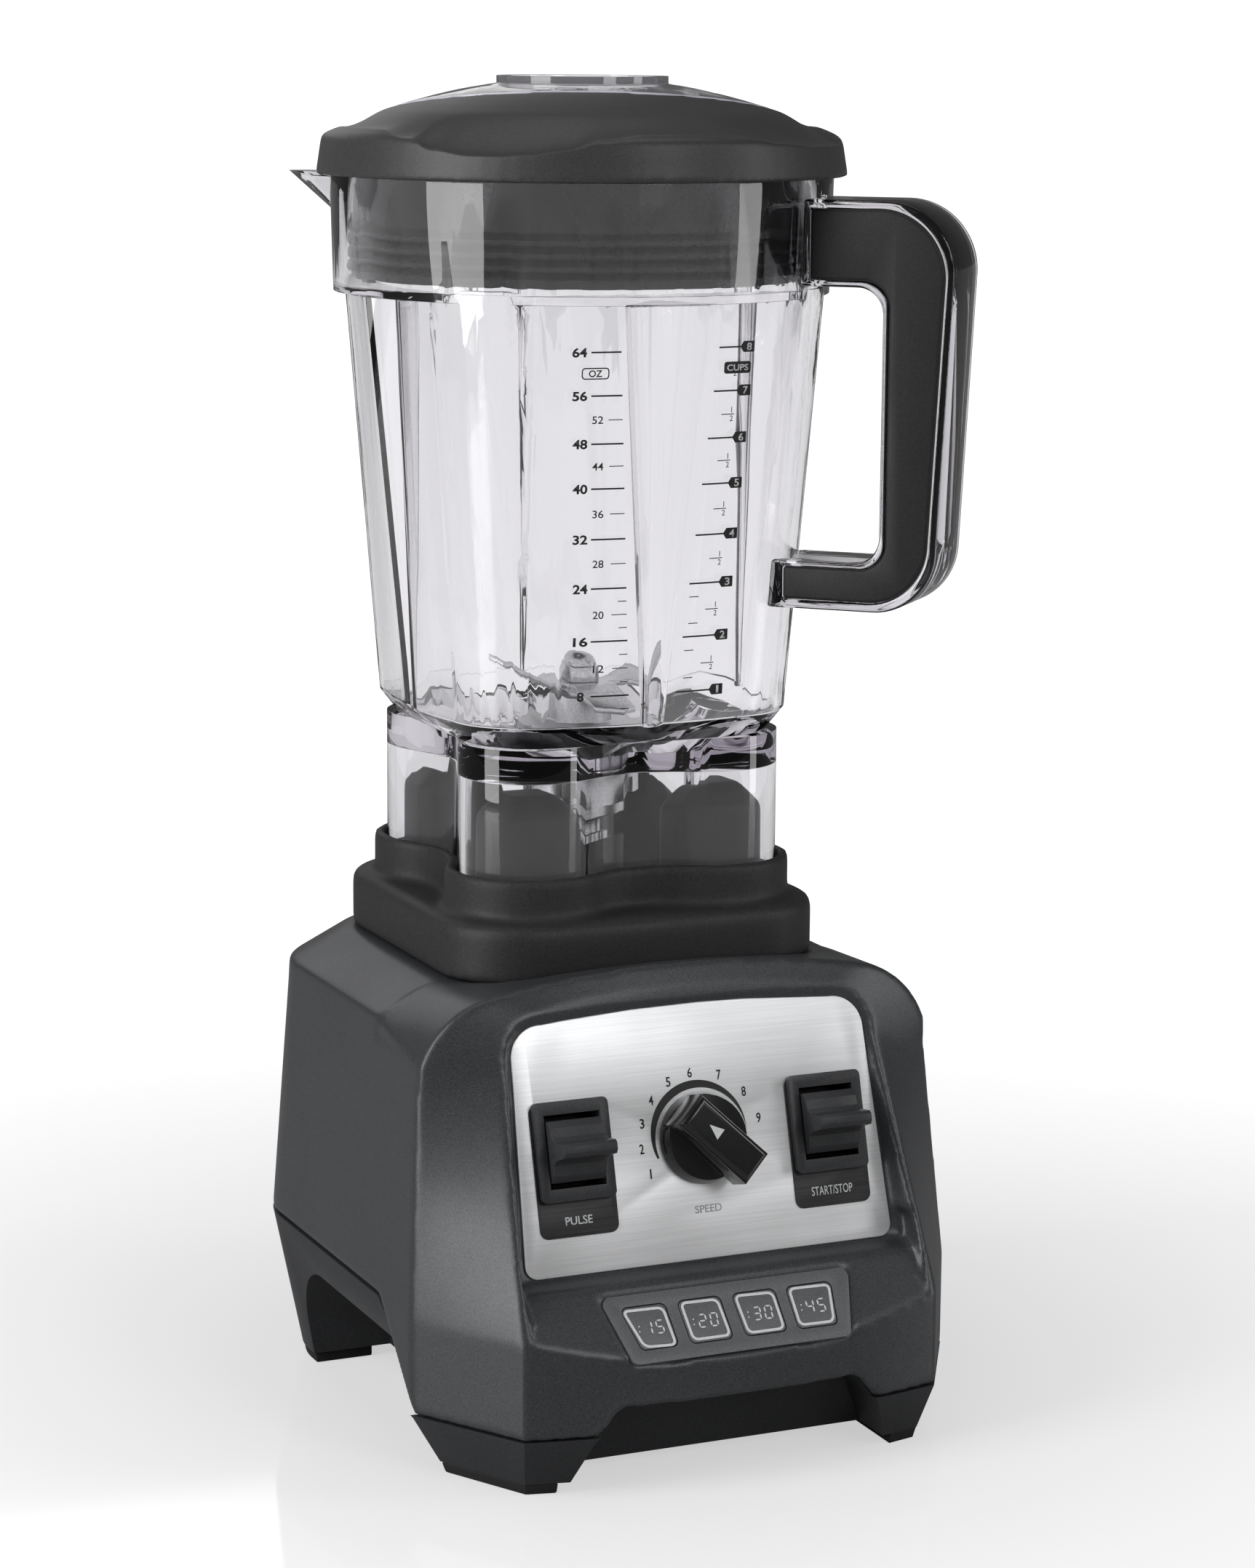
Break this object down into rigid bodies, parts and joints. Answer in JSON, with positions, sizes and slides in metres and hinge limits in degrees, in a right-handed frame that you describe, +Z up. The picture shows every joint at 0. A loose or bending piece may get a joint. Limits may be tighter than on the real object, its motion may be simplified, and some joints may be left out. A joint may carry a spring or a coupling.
{
  "type": "countertop blender",
  "caption": "Countertop blender: a motor base with arched legs, a steel panel of switches, knob and timer keys, and a clear square-sided jar with a handle, spout, blade and domed lid.",
  "frame": {"origin": "centre of the bounding box, at the level of the feet", "axes": "+Z up, parallel to the motor spindle; -Y towards the control panel; +X to the right of someone facing the panel"},
  "size_m": [0.2074, 0.2329, 0.458],
  "materials": {
    "housing": "satin",
    "cover": "satin",
    "foot_rubber": "matte",
    "pad_rubber": "matte",
    "panel_steel": "brushed",
    "label_plate": "brushed",
    "switch_plastic": "matte",
    "knob_plastic": "gloss",
    "timer_film": "satin",
    "key_plastic": "satin",
    "circuit_board": "satin",
    "electrical_parts": "matte",
    "steel": "satin",
    "laminations": "matte",
    "copper": "gloss",
    "bracket_metal": "cast",
    "carbon": "matte",
    "fan_plastic": "matte",
    "coupling_plastic": "satin",
    "clear_plastic": "gloss",
    "grip_plastic": "matte",
    "blade_steel": "polished",
    "lid_plastic": "matte"
  },
  "bodies": {
    "base": {"base_housing": "housing", "bottom_cover": "cover", "foot_front_left": "foot_rubber", "foot_front_right": "foot_rubber", "foot_rear_left": "foot_rubber", "foot_rear_right": "foot_rubber", "housing_screws": "steel", "jar_pad": "pad_rubber", "control_panel": "panel_steel", "label_plates": "label_plate", "pulse_switch_frame": "switch_plastic", "start_switch_frame": "switch_plastic", "switch_pivot_pins": "steel", "switch_blocks": "electrical_parts", "speed_control": "electrical_parts", "timer_plate": "timer_film", "timer_board": "circuit_board", "timer_switches": "electrical_parts", "control_board": "circuit_board", "board_components": "electrical_parts", "cord_gland": "foot_rubber", "motor_stator": "laminations", "field_coils": "copper", "upper_bracket": "bracket_metal", "lower_bracket": "bracket_metal", "motor_bearings": "steel", "motor_bolts": "steel", "motor_spacers": "steel", "motor_mounts": "foot_rubber", "brush_holders": "copper", "carbon_brushes": "carbon", "fan_shroud": "fan_plastic"},
    "rotor": {"motor_shaft": "steel", "armature_core": "laminations", "armature_windings": "copper", "commutator": "copper", "cooling_fan": "fan_plastic", "drive_coupling": "coupling_plastic"},
    "knob": {"speed_knob": "knob_plastic", "speed_control_shaft": "steel"},
    "pulse_lever": {"pulse_paddle": "switch_plastic"},
    "start_lever": {"start_paddle": "switch_plastic"},
    "timer_key_15": {"timer_button_15": "key_plastic"},
    "timer_key_20": {"timer_button_20": "key_plastic"},
    "timer_key_30": {"timer_button_30": "key_plastic"},
    "timer_key_45": {"timer_button_45": "key_plastic"},
    "jar_body": {"jar": "clear_plastic", "jar_handle": "clear_plastic", "handle_grip_left": "grip_plastic", "handle_grip_right": "grip_plastic", "blade_bearing_housing": "steel", "flange_gasket": "foot_rubber", "retaining_nut": "steel", "blade_bearings": "steel"},
    "blade_body": {"blade_shaft": "blade_steel", "blade": "blade_steel", "blade_nut": "blade_steel"},
    "lid_body": {"lid": "lid_plastic", "lid_gasket": "pad_rubber"},
    "cap_body": {"fill_cap": "clear_plastic"}
  },
  "joints": [
    {"name": "motor_spin", "type": "hinge", "parent": "base", "child": "rotor", "pos_m": [-0.00412, 0.0257, 0.1], "axis": [0, 0, 1], "continuous": true},
    {"name": "knob_turn", "type": "hinge", "parent": "base", "child": "knob", "pos_m": [-0.00362, -0.07816, 0.10838], "axis": [0, -0.9622, 0.2723], "range_deg": [-123, 72]},
    {"name": "pulse_press", "type": "hinge", "parent": "base", "child": "pulse_lever", "pos_m": [-0.05092, -0.07505, 0.10833], "axis": [1, 0, 0], "range_deg": [0, 10], "stiffness_Nm_per_rad": 0.25, "springref_deg": -2.86},
    {"name": "start_stop_rock", "type": "hinge", "parent": "base", "child": "start_lever", "pos_m": [0.04268, -0.07505, 0.10833], "axis": [1, 0, 0], "range_deg": [-10, 10], "stiffness_Nm_per_rad": 0.25},
    {"name": "timer_press_15", "type": "slide", "parent": "base", "child": "timer_key_15", "axis": [0, 0.7694, -0.6388], "range_m": [0, 0.0008], "stiffness_N_per_m": 1000, "springref_m": -0.0005},
    {"name": "timer_press_20", "type": "slide", "parent": "base", "child": "timer_key_20", "axis": [0, 0.7694, -0.6388], "range_m": [0, 0.0008], "stiffness_N_per_m": 1000, "springref_m": -0.0005},
    {"name": "timer_press_30", "type": "slide", "parent": "base", "child": "timer_key_30", "axis": [0, 0.7694, -0.6388], "range_m": [0, 0.0008], "stiffness_N_per_m": 1000, "springref_m": -0.0005},
    {"name": "timer_press_45", "type": "slide", "parent": "base", "child": "timer_key_45", "axis": [0, 0.7694, -0.6388], "range_m": [0, 0.0008], "stiffness_N_per_m": 1000, "springref_m": -0.0005},
    {"name": "jar_lift", "type": "slide", "parent": "base", "child": "jar_body", "axis": [0, 0, 1], "range_m": [0, 0.06]},
    {"name": "blade_spin", "type": "hinge", "parent": "jar_body", "child": "blade_body", "pos_m": [-0.00412, 0.0257, 0.25], "axis": [0, 0, 1], "continuous": true},
    {"name": "lid_lift", "type": "slide", "parent": "jar_body", "child": "lid_body", "axis": [0, 0, 1], "range_m": [0, 0.05]},
    {"name": "cap_lift", "type": "slide", "parent": "lid_body", "child": "cap_body", "axis": [0, 0, 1], "range_m": [0, 0.03]}
  ],
  "couplings": [
    {"joint": "blade_spin", "follows": "motor_spin", "ratio": 1}
  ]
}
